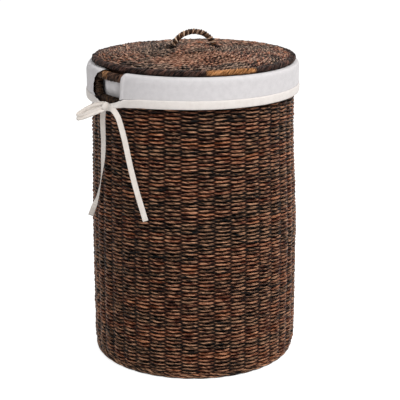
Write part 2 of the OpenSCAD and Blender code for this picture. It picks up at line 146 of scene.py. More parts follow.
def through(points, steps):
    """A smooth line through the points, with a few steps between each two."""
    ends = [points[0] * 2 - points[1]] + list(points) + [points[-1] * 2 - points[-2]]
    line = []
    for a, b, c, d in zip(ends, ends[1:], ends[2:], ends[3:]):
        for i in range(steps):
            t = i / steps
            square, cube = 2 * a - 5 * b + 4 * c - d, 3 * b - a - 3 * c + d
            line.append(0.5 * (2 * b + (c - a) * t + square * t**2 + cube * t**3))
    return line + [points[-1]]


def spaced(start, end, count):
    return [start + (end - start) * i / count for i in range(count + 1)]


def length_of(line):
    return sum((b - a).length for a, b in zip(line, line[1:]))


def distances(line):
    """How far along the line each of its points lies."""
    reach = [0.0]
    for a, b in zip(line, line[1:]):
        reach.append(reach[-1] + (b - a).length)
    return reach


def ripple(angle, scale, third):
    """Smooth noise that closes on itself round the basket."""
    return noise.noise(Vector((cos(angle) * scale, sin(angle) * scale, third)))


def off_the_hole(angle):
    """How far round a bearing lies from the middle of the nearer hand-hole."""
    return abs((angle + pi / 2) % pi - pi / 2)


def finish_piece(name, mesh, body, nodes, material):
    piece = bpy.data.objects.new(name, mesh)
    bpy.context.scene.collection.objects.link(piece)
    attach(piece, body)
    if nodes:
        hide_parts(*nodes)
    mesh.materials.clear()
    mesh.materials.append(material)
    return piece


# ---- materials ----


LOW_GLOSS = {"IOR": 1.5, "Specular IOR Level": 0.08}
HALF_SIDE = pi / 7  # how far round its section a seven-sided strand's first vertex lies


def new_look(name):
    """A material with nothing in its shader tree yet."""
    material = bpy.data.materials.new(name)
    material.use_nodes = True
    material.node_tree.nodes.clear()
    return material, material.node_tree


def surfaced(tree, base, rough, height, strength, depth, more):
    """Sends a colour, a roughness and a height for the bump to the material's output."""
    bump = add(tree, "Bump", {"Strength": strength, "Distance": depth, "Height": height})
    sockets = {"Base Color": base, "Roughness": rough, "Normal": bump.outputs["Normal"], **more}
    shader = add(tree, "BsdfPrincipled", sockets)
    add(tree, "OutputMaterial", {"Surface": shader.outputs["BSDF"]})


def dye_batches(tree, base, sizes):
    """Strand from darker and warmer batches of dye, each about as wide and tall as sizes."""
    sized = add(tree, "Mapping", {"Vector": add(tree, "TexCoord").outputs["Object"]})
    sized.inputs["Scale"].default_value = [1 / size for size in sizes]
    batch = noisy(tree, sized.outputs[0], rough=0.55)
    stops = [(0.41, "#2E2A32"), (0.47, "#A89AA6"), (0.55, "#F4E0DC"), (0.63, "#FFE8C8")]
    return multiplied(tree, base, ramp(tree, batch, stops))


def twisted_leaf(
    name, stain, glint, patch=0.05, twist=0.045, under=1.0, spread=0.12, painted_highlight_share=1.0,
    batches=None, zones=None,
):
    """Stained banana-leaf cord: dried leaf twisted by hand. Its dye takes unevenly, from black to
    tan, along each strand. Painted highlights in the glint colour stand for the light its plies
    catch, as short slanting glints, and painted shade keeps it near black on its underside, down to
    `under`, and where it dives under the next strand."""
    material, tree = new_look(name)
    lay = add(tree, "Attribute", attribute_name="lay")
    split = add(tree, "SeparateXYZ", {"Vector": lay.outputs["Vector"]})
    along, strand, crest = split.outputs["X"], split.outputs["Y"], split.outputs["Z"]
    turn = add(tree, "SeparateXYZ", {"Vector": add(tree, "UVMap").outputs["UV"]}).outputs["Y"]
    # Dye: patches about `patch` metres long on a strand, with flecks a quarter of that in them
    stretched = maths(tree, "MULTIPLY", along, 1 / patch)
    patches = noisy(tree, joined(tree, stretched, strand), rough=0.6)
    positions = [0.49 + spread * k for k in (-1.2, -0.35, 0.4, 1.2)]
    base = ramp(tree, patches, list(zip(positions, stain)))
    if batches:
        base = dye_batches(tree, base, batches)
    if zones:
        base = zones(tree, base)
    # Fibres run along the strand and slowly round it, one turn in `twist` metres. The streaks are
    # drawn 2 to 3 mm wide, coarser than leaf fibre, so that they show.
    slant = maths(tree, "ADD", turn, maths(tree, "MULTIPLY", along, 1 / twist))
    ridge = maths(tree, "SINE", maths(tree, "MULTIPLY", slant, 4 * pi))
    drawn, slow = maths(tree, "MULTIPLY", slant, 6.0), maths(tree, "MULTIPLY", along, 45.0)
    grain = noisy(tree, joined(tree, drawn, slow, strand), detail=3.0, rough=0.65)
    streaks = ramp(tree, grain, [(0.34, "#4A4240"), (0.48, "#B4ACA8"), (0.6, "#FFFFFF")])
    shade = multiplied(tree, base, streaks)
    # Painted shade, as from light above: near black on a strand's underside and where it dives
    upward = maths(tree, "SINE", maths(tree, "MULTIPLY_ADD", turn, 2 * pi, HALF_SIDE))
    stands = maths(tree, "MULTIPLY", crest, mapped(tree, upward, -0.85, 0.15, under, 1.0))
    # Painted highlights: the glint colour, laid on the grain where the strand stands out and faces
    # up
    painted_highlight_mask = maths(tree, "MULTIPLY", mapped(tree, grain, 0.46, 0.7), stands)
    lit = mixed(tree, maths(tree, "MULTIPLY", painted_highlight_mask, painted_highlight_share), shade, colour(glint))
    # The painted shade, multiplied in: near black where the strand is low or faces down
    deep = ramp(tree, stands, [(0.0, "#050303"), (0.5, "#5A504C"), (0.88, "#FFFFFF")])
    height = maths(tree, "MULTIPLY_ADD", ridge, 0.5, grain)
    rough = mapped(tree, grain, 0, 1, 0.62, 0.36)
    surfaced(tree, multiplied(tree, lit, deep), rough, height, 1.0, mm(0.6), LOW_GLOSS)
    return material


def stained_rod(name, dark, light):
    """Peeled rattan rod, stained: smooth and finely grained."""
    material, tree = new_look(name)
    at = add(tree, "TexCoord").outputs["Object"]
    grain = noisy(tree, at, 420.0, 3.0, 0.6)
    tone = maths(tree, "MULTIPLY", grain, noisy(tree, at, 30.0))
    base = ramp(tree, tone, [(0.15, dark), (0.42, light)])
    surfaced(tree, base, 0.55, grain, 0.4, mm(0.2), LOW_GLOSS)
    return material


def plain_cotton(name, warp, weft, thread=1.1):
    """Unbleached cotton, plain woven: matt, with a fine grid of threads. The threads are drawn
    `thread` mm apart, coarser than in real cloth, so that they show."""
    material, tree = new_look(name)
    uv = add(tree, "UVMap").outputs["UV"]
    split = add(tree, "SeparateXYZ", {"Vector": uv})
    waves = [
        maths(tree, "SINE", maths(tree, "MULTIPLY", split.outputs[axis], 2 * pi / mm(thread)))
        for axis in ("X", "Y")
    ]
    threads = maths(tree, "MULTIPLY", *waves)
    slub = noisy(tree, uv, 90.0, 4.0, 0.6)
    tone = maths(tree, "MULTIPLY_ADD", threads, 0.18, slub)
    base = ramp(tree, tone, [(0.2, warp), (0.75, weft)])
    height = maths(tree, "MULTIPLY_ADD", threads, 0.5, slub)
    soft = {"IOR": 1.45, "Sheen Weight": 0.25, "Sheen Roughness": 0.5}
    surfaced(tree, base, 0.9, height, 0.35, mm(0.15), soft)
    return material


def stretches(*parts, painted_shade_below=None):
    """Stretches of a round piece in another colour, each as (bearing and half width in
    degrees, inner and outer radius in mm, hex colour, how much of it): strand of another dye, or
    painted shade. Painted shade also darkens the strand towards its bottom, from the upper of the
    two heights given for it down to the lower one."""

    def zone(tree, base):
        place = add(tree, "TexCoord").outputs["Object"]
        at = add(tree, "SeparateXYZ", {"Vector": place}).outputs
        turned = maths(tree, "ARCTAN2", at["Y"], at["X"])
        level = joined(tree, at["X"], at["Y"])
        reach = add(tree, "VectorMath", {0: level}, operation="LENGTH").outputs["Value"]
        for bearing, half, inner, outer, code, share in parts:
            away = maths(tree, "ABSOLUTE", maths(tree, "SUBTRACT", turned, radians(bearing)))
            inside = share
            for value, none, whole in (
                (away, radians(half), radians(half * 0.85)),
                (reach, mm(inner - 3), mm(inner + 3)),
                (reach, mm(outer + 3), mm(outer - 3)),
            ):
                inside = maths(tree, "MULTIPLY", mapped(tree, value, none, whole), inside)
            base = mixed(tree, inside, base, colour(code))
        # Painted shade, darker towards the bottom of the piece
        if painted_shade_below:
            lit = mapped(tree, at["Z"], *painted_shade_below, 0.25, 1.0)
            grey = add(tree, "CombineColor", {0: lit, 1: lit, 2: lit}).outputs[0]
            base = multiplied(tree, base, grey)
        return base

    return zone


wall_leaf = twisted_leaf(
    "banana_leaf_cord_stained",
    ("#0C0504", "#431B13", "#723520", "#A06241"),
    "#DAA480",
    patch=0.11,
    twist=0.08,
    under=0.08,
    spread=0.1,
    batches=(0.16, 0.16, 0.024),
)
lid_leaf = twisted_leaf(
    "banana_leaf_rope_stained",
    ("#120A0B", "#4C2C26", "#8C503E", "#C88460"),
    "#ECC4A8",
    patch=0.03,
    twist=0.05,
    under=0.1,
    spread=0.08,
    painted_highlight_share=0.8,
    batches=(0.07, 0.07, 0.07),
    zones=stretches(
        (-140, 46, 160, 200, "#1C1416", 0.75),
        (-122, 42, 60, 150, "#A8623C", 0.45),
        # The last two stretches are painted shade: the lid's back and its left, as seen from the
        # camera, made darker
        (52, 70, 80, 200, "#181214", 0.3),
        (142, 40, 60, 200, "#181216", 0.3),
    ),
)
rim_leaf = twisted_leaf(
    "banana_leaf_whipping_stained",
    ("#080504", "#1A0F0C", "#2E1B14", "#5A3A2A"),
    "#B89078",
    patch=0.06,
    spread=0.1,
    painted_highlight_share=0.4,
    # Painted shade on the lower part of the rim
    zones=stretches((176.8, 2.8, 150, 230, "#A87A50", 1), painted_shade_below=(mm(566), mm(572))),
)
edge_leaf = twisted_leaf(
    "banana_leaf_whipping_two_tone",
    ("#080606", "#1C1313", "#321F1C", "#64443A"),
    "#BC9484",
    patch=0.08,
    spread=0.1,
    painted_highlight_share=0.2,
    # Painted shade under the lid's edge, where it sits over the cuff
    zones=stretches((-107, 15, 150, 230, "#CC9058", 1), painted_shade_below=(mm(584), mm(588.5))),
)
dark_leaf = twisted_leaf(
    "banana_leaf_whipping_dark",
    ("#060302", "#140C09", "#241610", "#442E22"),
    "#A88264",
    patch=0.06,
    painted_highlight_share=0.4,
)
handle_dark = twisted_leaf(
    "banana_leaf_whipping_handle_dark",
    ("#100806", "#28160F", "#40261A", "#6A4632"),
    "#A88060",
    painted_highlight_share=0.3,
)
handle_pale = twisted_leaf(
    "banana_leaf_whipping_handle_pale",
    ("#4A2E20", "#946A4C", "#C09474", "#E0BC9C"),
    "#F4DCC4",
)
rod_wood = stained_rod("rattan_rod_stained", "#1E1512", "#4A3328")
stake_wood = stained_rod("rattan_stake_stained", "#0A0605", "#1E120C")
cotton = plain_cotton("cotton_liner_cloth", "#CFCBCC", "#DEDADB")
hem_cotton = plain_cotton("cotton_hem_cloth", "#E1D9D3", "#EEE7E2")
tape_cotton = plain_cotton("cotton_twill_tape", "#D8CEC5", "#ECE4DC", thread=1.6)


# ---- strands and windings ----


# The width, height and number of sides of a strand
WALL_STRAND = (mm(6.0), mm(5.1), 7)
STAKE_ROD = (mm(4), mm(4), 10)
FOOT_STRAND = (mm(5.2), mm(5.2), 8)
RIM_STRAND = (mm(4.8), mm(4.8), 7)
BAR_STRAND = (mm(4.0), mm(4.0), 7)
BASE_STRAND = (mm(5.4), mm(3.4), 7)
LID_PLY = (mm(4.9), mm(4.7), 6)
EDGE_STRAND = (mm(4.3), mm(4.3), 7)
HANDLE_STRAND = (mm(4.2), mm(4.2), 7)
LASHING_STRAND = (mm(3.6), mm(3.6), 7)
STRAND_APART = 1.7  # how far apart two strands lie in the noise that colours them
MERGE = 1e-6  # vertices this close, in metres, become one
END_TAPER = 0.02  # share of the last step that a strand's closed end adds


def strands(name, lines, wide, tall, sides, body, slot, material, nodes=(), twist="Z_UP"):
    """Strands along lines of (point, thickness, crest). Each vertex keeps how far along its
    strand it lies, which strand it is on, and how far that strand stands out there, from 0 to 1;
    the strand materials paint shade and highlights from that last value."""
    section = bpy.data.curves.new(name + "_section", "CURVE")
    ring = section.splines.new("POLY")
    ring.points.add(sides - 1)
    for i, point in enumerate(ring.points):
        a = 2 * pi * (i + 0.5) / sides
        point.co = (wide / 2 * cos(a), tall / 2 * sin(a), 0, 1)
    ring.use_cyclic_u = True
    section_piece = bpy.data.objects.new(name + "_section", section)
    bpy.context.scene.collection.objects.link(section_piece)
    curve = bpy.data.curves.new(name, "CURVE")
    curve.dimensions = "3D"
    curve.twist_mode = twist
    curve.bevel_mode = "OBJECT"
    curve.bevel_object = section_piece
    lay = []
    for number, line in enumerate(lines):
        first, last = line[0], line[-1]
        line = [
            (first[0] * (1 + END_TAPER) - line[1][0] * END_TAPER, 0, first[2]),
            *line,
            (last[0] * (1 + END_TAPER) - line[-2][0] * END_TAPER, 0, last[2]),
        ]
        spline = curve.splines.new("POLY")
        spline.points.add(len(line) - 1)
        spline.points.foreach_set("co", [x for point, _, _ in line for x in (*point, 1)])
        spline.points.foreach_set("radius", [thickness for _, thickness, _ in line])
        distance, last = 0.0, line[0][0]
        for point, _, crest in line:
            distance += (point - last).length
            last = point
            lay += (distance, number * STRAND_APART, crest) * sides
    route = bpy.data.objects.new(name + "_route", curve)
    bpy.context.scene.collection.objects.link(route)
    shaped = route.evaluated_get(bpy.context.evaluated_depsgraph_get())
    mesh = bpy.data.meshes.new_from_object(shaped)
    mesh.name = name
    mesh.attributes.new("lay", "FLOAT_VECTOR", "POINT").data.foreach_set("vector", lay)
    for used in (route, section_piece):
        bpy.data.objects.remove(used)
    bm = bmesh.new()
    bm.from_mesh(mesh)
    bmesh.ops.remove_doubles(bm, verts=[v for v in bm.verts if v.is_boundary], dist=MERGE)
    bm.to_mesh(mesh)
    bm.free()
    mesh.shade_smooth()
    return finish_piece(name, mesh, body, nodes, material)


def rounded(value):
    """A cosine or sine pushed out towards 1 or -1, for a section between a circle and a square."""
    return abs(value) ** 0.7 if value > 0 else -(abs(value) ** 0.7)


def wound(spine, half_out, half_side, pitch, strand, starts, rough, phase=0.0, steps=10):
    """Lines of strand wound round a spine of (middle, out, side) frames, on a rounded section.
    rough is how unevenly the turns stand out."""
    middles = [middle for middle, _, _ in spine]
    total = length_of(middles)
    turns = round(total / (pitch * starts))
    reach = distances(middles)
    lines = []
    for start in range(starts):
        line = []
        k = 0
        for i in range(turns * steps + 1):
            t = i / (turns * steps) * total
            while k < len(reach) - 2 and reach[k + 1] < t:
                k += 1
            f = (t - reach[k]) / (reach[k + 1] - reach[k])
            middle = spine[k][0].lerp(spine[k + 1][0], f)
            out = spine[k][1].lerp(spine[k + 1][1], f).normalized()
            side = spine[k][2].lerp(spine[k + 1][2], f).normalized()
            a = 2 * pi * (i / steps + start / starts) + phase
            w = rough * noise.noise(Vector((i * 0.31, start * 9.1, phase + total)))
            x = (half_out - strand / 2 + w) * rounded(cos(a))
            y = (half_side - strand / 2 + w) * rounded(sin(a))
            line.append((middle + out * x + side * y, 1 + 0.25 * w / mm(1), 1))
        lines.append(line)
    return lines


def hoop_spine(r, z, steps=176):
    angles = [2 * pi * i / steps for i in range(steps + 1)]
    return [(around(a, r, z), around(a, 1, 0), UP) for a in angles]


# ---- the woven wall ----


def frame_edge(z):
    """How far from its middle a hand-hole's frame reaches at a height, as an arc on the wall."""
    half = BAR_ANGLE * BAR_R
    if z < BAR_Z - mm(3):
        return 0
    drop = min(BAR_CORNER, BAR_Z + BAR_CORNER - z)
    if drop <= 0:
        return half
    return half - BAR_CORNER + sqrt(max(0, BAR_CORNER**2 - drop**2))


def in_hand_hole(angle, z):
    return off_the_hole(angle) * BAR_R < frame_edge(z)


def weaver(number, low, top, steps=6):
    """One of two strands that chase each other up the wall, over one stake and under the next.
    Gives its runs, broken where a hand-hole's frame stands."""
    rise = 2 * COURSE
    shortest = 4  # points in the shortest run that is kept
    runs, run = [], []
    first = ceil((low - WALL_LOW - number * COURSE) / rise * STAKES * steps)
    last = floor((top - WALL_LOW - number * COURSE) / rise * STAKES * steps)
    for i in range(max(0, first), last + 1):
        angle = i * STAKE_STEP / steps
        base = WALL_LOW + number * COURSE + rise * angle / (2 * pi)
        turn = angle % (2 * pi)
        wave = ripple(turn, 3.1, base * 22)
        twitch = noise.noise(Vector((angle * 5.1, number * 7.7, 3.3)))
        jerk = noise.noise(Vector((angle * 11.3, number * 4.1, 8.8)))
        side = cos(pi * (i / steps - 0.5) + pi * number)
        r = STAKE_R + mm(3.2) * side + mm(0.6) * wave + mm(0.7) * twitch + swell(angle, base)
        z = base + mm(1.5) * wave + mm(0.5) * twitch + mm(0.4) * jerk
        thick = (1 + 0.04 * side * side) * (1 + 0.2 * twitch + 0.18 * jerk)
        if in_hand_hole(turn, z):
            runs.append(run)
            run = []
        else:
            run.append((around(angle, r, z), thick, smooth(-0.75, 0.6, side)))
    runs.append(run)
    return [run for run in runs if len(run) >= shortest]


def swell(angle, z):
    """How far the wall stands out: it is fuller below the liner, and not quite round."""
    low = smooth(mm(480), mm(230), z)
    uneven = cos(angle - radians(147)) * (mm(1.4) - mm(2.6) * low)
    return mm(6) * low * (0.5 + 0.5 * smooth(mm(6), mm(30), z)) + uneven - mm(2)


def both_weavers(low, top):
    return weaver(0, low, top) + weaver(1, low, top)


WALL_PARTS = 4
for part in range(WALL_PARTS):
    low = WALL_LOW + (WALL_TOP - WALL_LOW) * part / WALL_PARTS
    top = WALL_LOW + (WALL_TOP - WALL_LOW) * (part + 1) / WALL_PARTS
    strands(
        f"wall_weave_strands_{part + 1}",
        both_weavers(low, top),
        *WALL_STRAND,
        "basket",
        "woven_strand",
        wall_leaf,
        ["wall_weave"] if part == 0 else (),
    )
strands(
    "band_weave_strands",
    both_weavers(WALL_TOP, BAND_TOP),
    *WALL_STRAND,
    "basket",
    "woven_strand",
    wall_leaf,
    ["hand_band_front", "hand_band_back"],
)


def stakes():
    """The upright stakes, which follow the wall's fullness. Those by a hand-hole end at its bar."""
    lines = []
    for i in range(STAKES):
        angle = (i + 0.5) * STAKE_STEP
        top = BAR_Z if off_the_hole(angle) < 2 * STAKE_STEP else RIM_Z
        heights = spaced(mm(9), top, 24)
        lines.append([(around(angle, STAKE_R + swell(angle, z), z), 1, 1) for z in heights])
    return lines


strands(
    "wall_stake_rods",
    stakes(),
    *STAKE_ROD,
    "basket",
    "rattan_rod",
    stake_wood,
    ["wall_stakes"],
    twist="MINIMUM",
)

# ---- foot, rim and hand-hole frames ----


def foot_border():
    """Each stake's end turned down outside the next two and tucked in under the base, over three
    rounds of paired strand."""
    lines = []
    for i in range(STAKES):
        a = (i + 0.5) * STAKE_STEP
        stations = [(0.0, 194.5, 14.0), (0.3, 197.0, 10.4), (0.95, 197.6, 6.4), (1.6, 196.2, 3.6)]
        stations += [(2.2, 194.0, 3.1), (2.8, 190.0, 3.0), (3.3, 187.4, 5.0), (3.5, 187.0, 8.0)]
        route = [around(a + s * STAKE_STEP, mm(r), mm(z)) for s, r, z in stations]
        lines.append([(point, 1, 1) for point in through(route, 3)])
    for r, z in ((194.0, 9.6), (192.2, 13.6), (192.6, 4.4)):
        for pair in (0, 1):
            line = []
            for i in range(STAKES * 4 + 1):
                side = cos(pi * (i / 4 - 0.5) + pi * pair)
                point = around(i * STAKE_STEP / 4, mm(r + 2.2 * side), mm(z + 0.9 * pair))
                line.append((point, 1, smooth(-1, 0.6, side)))
            lines.append(line)
    return lines


strands(
    "foot_border_strands",
    foot_border(),
    *FOOT_STRAND,
    "basket",
    "foot_whipping",
    wall_leaf,
    ["foot_border"],
)
rim_spine = hoop_spine(BAR_R, RIM_Z)
strands(
    "rim_whipping",
    wound(rim_spine, RIM_W / 2, RIM_H / 2, mm(4.6), mm(4.4), starts=4, rough=mm(0.8)),
    *RIM_STRAND,
    "basket",
    "rim_whipping",
    rim_leaf,
    ["rim_binding"],
    twist="MINIMUM",
)


def frame_spine(middle):
    """The U of a hand-hole's frame: down from the rim, along under the hole, and up again."""
    half = BAR_ANGLE * BAR_R
    flat = [(-half, mm(561) - i * mm(4)) for i in range(6)]
    for i in range(9):
        a = pi + pi / 2 * i / 8
        x = -half + BAR_CORNER + BAR_CORNER * cos(a)
        flat.append((x, BAR_Z + BAR_CORNER + BAR_CORNER * sin(a)))
    flat += [(-half + BAR_CORNER + (half - BAR_CORNER) * i / 8, BAR_Z) for i in range(1, 9)]
    flat += [(-x, z) for x, z in reversed(flat[:-1])]
    spine = []
    for i, (x, z) in enumerate(flat):
        before, after = flat[max(0, i - 1)], flat[min(len(flat) - 1, i + 1)]
        here, ahead, behind = (
            around(middle + arc / BAR_R, BAR_R, height) for arc, height in ((x, z), after, before)
        )
        out = around(middle + x / BAR_R, 1, 0)
        side = (ahead - behind).normalized().cross(out).normalized()
        spine.append((here, out, side))
    return spine


for side, middle in (("left", pi), ("right", 0.0)):
    strands(
        f"hand_hole_whipping_{side}",
        wound(frame_spine(middle), mm(7.2), mm(7.2), mm(4.2), mm(3.8), starts=2, rough=mm(0.7)),
        *BAR_STRAND,
        "basket",
        "bar_whipping",
        dark_leaf,
        [f"hand_hole_bar_{side}"],
        twist="MINIMUM",
    )


# ---- base ----


def base_weaver(number):
    """One of two strands that chase each other outwards over and under the base's spokes."""
    line = []
    steps = 88  # points in a turn
    pitch, turns = mm(11.6), 14.6
    inner, outer = mm(16), mm(184.5)
    for i in range(int(turns * steps) + 1):
        turn = i / steps
        r = inner + pitch * (turn + number / 2)
        if r > outer:
            break
        side = cos(pi * turn * SPOKES + pi * number)
        z = mm(10.4) + mm(1.3) * side * min(1, r / mm(60))
        line.append((around(2 * pi * turn, r, z), 1, 0.7))
    return line


strands(
    "base_weave_strands",
    [base_weaver(0), base_weaver(1)],
    *BASE_STRAND,
    "basket",
    "woven_strand",
    wall_leaf,
    ["base_weave"],
)

# ---- lid ----


def lid_height(r):
    return LID_ROW_Z + LID_RISE * (1 - r / LID_ROW_R)


def lid_wander(angle):
    """The lid does not lie quite flat: it is lowest at its back left, seen from the camera."""
    low = max(0, cos(angle - radians(95))) ** 3
    return mm(0.5) * ripple(angle, 6, 2.2) - mm(1.7) * low


def lid_rope():
    """Two plies twisted into a rope that runs outwards in rows, over the spokes in one row and
    under them in the next. Three quarters of a turn along the edge closes the last gap."""
    lines = [[], []]
    pitch = mm(6.2)
    twist = mm(15)  # length of one turn of the plies
    step = mm(2.3)
    ply_off = mm(1.7)  # from the rope's middle to a ply's
    angle, along = 0.0, 0.0
    last = LID_ROW_R + mm(1.4)
    while True:
        r = mm(9) + pitch * angle / (2 * pi)
        if r > last + pitch * 0.75:
            break
        r = min(r, last)
        row = floor(angle / (2 * pi))
        lift = mm(1.3) * cos(angle * SPOKES + pi * row) * smooth(mm(20), mm(70), r)
        sway = noise.noise(Vector((cos(angle) * r * 20, sin(angle) * r * 20, 1.7)))
        jog = noise.noise(Vector((along * 61, r * 40, 6.1)))
        z = lid_height(r) + lift + mm(2.2) * sway + mm(1.0) * jog + lid_wander(angle) * r / LID_R
        middle = around(angle, r + mm(0.9) * jog, z)
        for ply in (0, 1):
            a = 2 * pi * along / twist + pi * ply
            out = around(angle, cos(a) * ply_off, sin(a) * ply_off)
            crest = smooth(-1.0, 0.7, sin(a) + 1.2 * sway)
            lines[ply].append((middle + out, 1 + 0.25 * sway + 0.15 * jog, crest))
        angle += step / r
        along += step
    return lines


def lid_edge_spine(steps=352):
    """The middle of the lid's whipped edge, not quite round or flat, as frames for the windings."""
    spine = []
    for i in range(steps + 1):
        a = 2 * pi * i / steps
        middle = around(a, LID_R + mm(0.9) * ripple(a, 11, 9.3), LID_EDGE_Z + lid_wander(a))
        spine.append((middle, around(a, 1, 0), UP))
    return spine


strands("lid_weave_rope", lid_rope(), *LID_PLY, "lid", "lid_strand", lid_leaf, ["lid_weave"])
edge_turns = wound(
    lid_edge_spine(),
    LID_EDGE_W / 2,
    LID_EDGE_H / 2,
    mm(4.4),
    mm(4.0),
    starts=4,
    rough=mm(1.1),
    phase=0.6,
    steps=12,
)
strands(
    "lid_edge_whipping",
    edge_turns,
    *EDGE_STRAND,
    "lid",
    "lid_whipping",
    edge_leaf,
    ["lid_binding"],
    twist="MINIMUM",
)

# ---- lid handle ----

ARC_R, ARC_Z = mm(44.4), mm(592.1)
ARC_HALF = radians(65)
HANDLE_RUN = Vector((cos(HANDLE_TURN), sin(HANDLE_TURN), 0))


def arch_spine(steps=40):
    flat_side = Vector((-sin(HANDLE_TURN), cos(HANDLE_TURN), 0))
    spine = []
    for i in range(steps + 1):
        a = -ARC_HALF + 2 * ARC_HALF * i / steps
        out = HANDLE_RUN * sin(a) + Vector((0, 0, cos(a)))
        spine.append((out * ARC_R + Vector((0, 0, ARC_Z)), out, flat_side))
    return spine


handle_turns = wound(arch_spine(), mm(5.5), mm(5.5), mm(4.4), mm(3.6), starts=2, rough=mm(0.5))
for name, line, leaf in zip(("dark", "pale"), handle_turns, (handle_dark, handle_pale)):
    strands(
        f"handle_whipping_{name}",
        [line],
        *HANDLE_STRAND,
        "lid",
        "handle_whipping",
        leaf,
        ["handle_wrap"],
        twist="MINIMUM",
    )


def lashing(side):
    """Strand laid crosswise over a handle foot, down into the lid on each side of it."""
    foot = HANDLE_RUN * mm(40) * side + Vector((0, 0, mm(607)))
    lines = []
    for n in range(7):
        wide, deep = mm(14 + 1.6 * (n % 3)), mm(9 + 1.3 * (n % 2))
        swing, lean = radians(27 * n - 60), radians(12 + 7 * (n % 3))
        tilt = Matrix.Rotation(swing, 3, "Z") @ Matrix.Rotation(lean, 3, "X")
        line = []
        for i in range(29):
            a = 2 * pi * i / 24
            ring = Vector((wide * cos(a), deep * sin(a), mm(0.8 * n - 4)))
            line.append((foot + tilt @ ring, 1, smooth(-1.2, 0.3, sin(a * 2 + n))))
        lines.append(line)
    return lines


strands(
    "handle_lashing_strands",
    lashing(1) + lashing(-1),
    *LASHING_STRAND,
    "lid",
    "bar_whipping",
    dark_leaf,
    ["handle_lashings"],
)

# ---- cloth ----


def write_uv(bm, uv, flat):
    for face in bm.faces:
        for loop in face.loops:
            loop[uv].uv = flat[loop.vert]


def cloth_mesh(name, bm):
    mesh = bpy.data.meshes.new(name)
    bm.to_mesh(mesh)
    bm.free()
    mesh.shade_smooth()
    return mesh


def thicken(piece, thickness):
    solid = piece.modifiers.new("thickness", "SOLIDIFY")
    solid.thickness = thickness
    solid.offset = 0


def sheet(
    name, columns, rows, place, thickness, body, material, nodes, keep=None, closed=False
):
    """A flat grid of cloth, each point moved to where it hangs, then given its thickness.
    columns and rows are the flat positions, in metres, of its grid lines."""
    bm = bmesh.new()
    uv = bm.loops.layers.uv.new("UVMap")
    bmesh.ops.create_grid(bm, x_segments=len(columns) - 1, y_segments=len(rows) - 1, size=0.5)
    flat = {}
    for vert in bm.verts:
        across = round((vert.co.x + 0.5) * (len(columns) - 1))
        down = round((vert.co.y + 0.5) * (len(rows) - 1))
        flat[vert] = (columns[across], rows[down])
    if keep:
        middles = {f: [sum(flat[v][k] for v in f.verts) / 4 for k in (0, 1)] for f in bm.faces}
        gone = [f for f in bm.faces if not keep(*middles[f])]
        bmesh.ops.delete(bm, geom=gone, context="FACES")
    write_uv(bm, uv, flat)
    for vert in bm.verts:
        vert.co = place(*flat[vert])
    if closed:
        bmesh.ops.remove_doubles(bm, verts=bm.verts, dist=MERGE)
    bmesh.ops.recalc_face_normals(bm, faces=bm.faces)
    piece = finish_piece(name, cloth_mesh(name, bm), body, nodes, material)
    thicken(piece, thickness)
    return piece


BAG_R = mm(184.4)
BAG_LOW, BAG_TOP = mm(15.5), mm(577)
BAG_CLOTH = mm(0.8)


def bag_side(x, y):
    angle = x / BAG_R
    fold, pleat = ripple(angle, 5, y * 1.6), ripple(angle, 14, y * 3)
    slack = smooth(0, mm(80), BAG_TOP - y) * smooth(0, mm(60), y - BAG_LOW)
    r = BAG_R - slack * (mm(2.6) + mm(3.2) * fold + mm(1.6) * pleat)
    # The cloth presses a little way out into the hand-holes
    over_bar, under_rim = smooth(mm(534), mm(545), y), smooth(mm(572), mm(561), y)
    pressed = smooth(mm(30), mm(12), off_the_hole(angle) * BAG_R) * over_bar * under_rim
    return around(angle, min(r, BAG_R) + (mm(13) + mm(2.5) * pleat) * pressed, y)


bag = sheet(
    "liner_bag_side",
    spaced(0, 2 * pi * BAG_R, 176),
    spaced(BAG_LOW, BAG_TOP, 60),
    bag_side,
    BAG_CLOTH,
    "liner",
    cotton,
    ["liner_side"],
    closed=True,
)


def bag_floor():
    rings, ring_wide = 14, mm(12.4)
    bm = bmesh.new()
    uv = bm.loops.layers.uv.new("UVMap")
    bmesh.ops.create_circle(bm, cap_ends=True, segments=88, radius=BAG_R)
    for _ in range(rings):
        cap = max(bm.faces, key=lambda f: len(f.verts))
        bmesh.ops.inset_region(bm, faces=[cap], thickness=ring_wide, use_even_offset=True)
    cap = max(bm.faces, key=lambda f: len(f.verts))
    bmesh.ops.poke(bm, faces=[cap])
    write_uv(bm, uv, {vert: vert.co.xy for vert in bm.verts})
    for vert in bm.verts:
        ripple = noise.noise(Vector((vert.co.x * 12, vert.co.y * 12, 5.5)))
        inside = smooth(0, mm(60), BAG_R - vert.co.xy.length)
        vert.co.z = mm(15.3) + mm(1.2) * inside * (ripple + 0.4)
    name = "liner_bag_floor"
    piece = finish_piece(
        name, cloth_mesh(name, bm), "liner", ["liner_bottom"], cotton
    )
    thicken(piece, BAG_CLOTH)
    return piece


floor_cloth = bag_floor()

# The cuff: up from the bag, over the rim and down outside it, with a turned edge at the slot.
# Its section is (radius, height, 0) in mm.
CUFF_R = mm(202.6)
cuff_path = through(
    [
        Vector((184.8, 564, 0)),
        Vector((184.8, 573, 0)),
        Vector((186.6, 580.0, 0)),
        Vector((192.0, 582.2, 0)),
        Vector((198.8, 582.0, 0)),
        Vector((202.0, 579.4, 0)),
        Vector((202.9, 573, 0)),
        Vector((202.6, 563, 0)),
        Vector((202.6, 551, 0)),
        Vector((202.6, 541, 0)),
    ],
    12,
)
cuff_reach = [0.0]
for a, b in zip(cuff_path, cuff_path[1:]):
    cuff_reach.append(cuff_reach[-1] + mm((b - a).length))
CUFF_LONG = cuff_reach[-1]


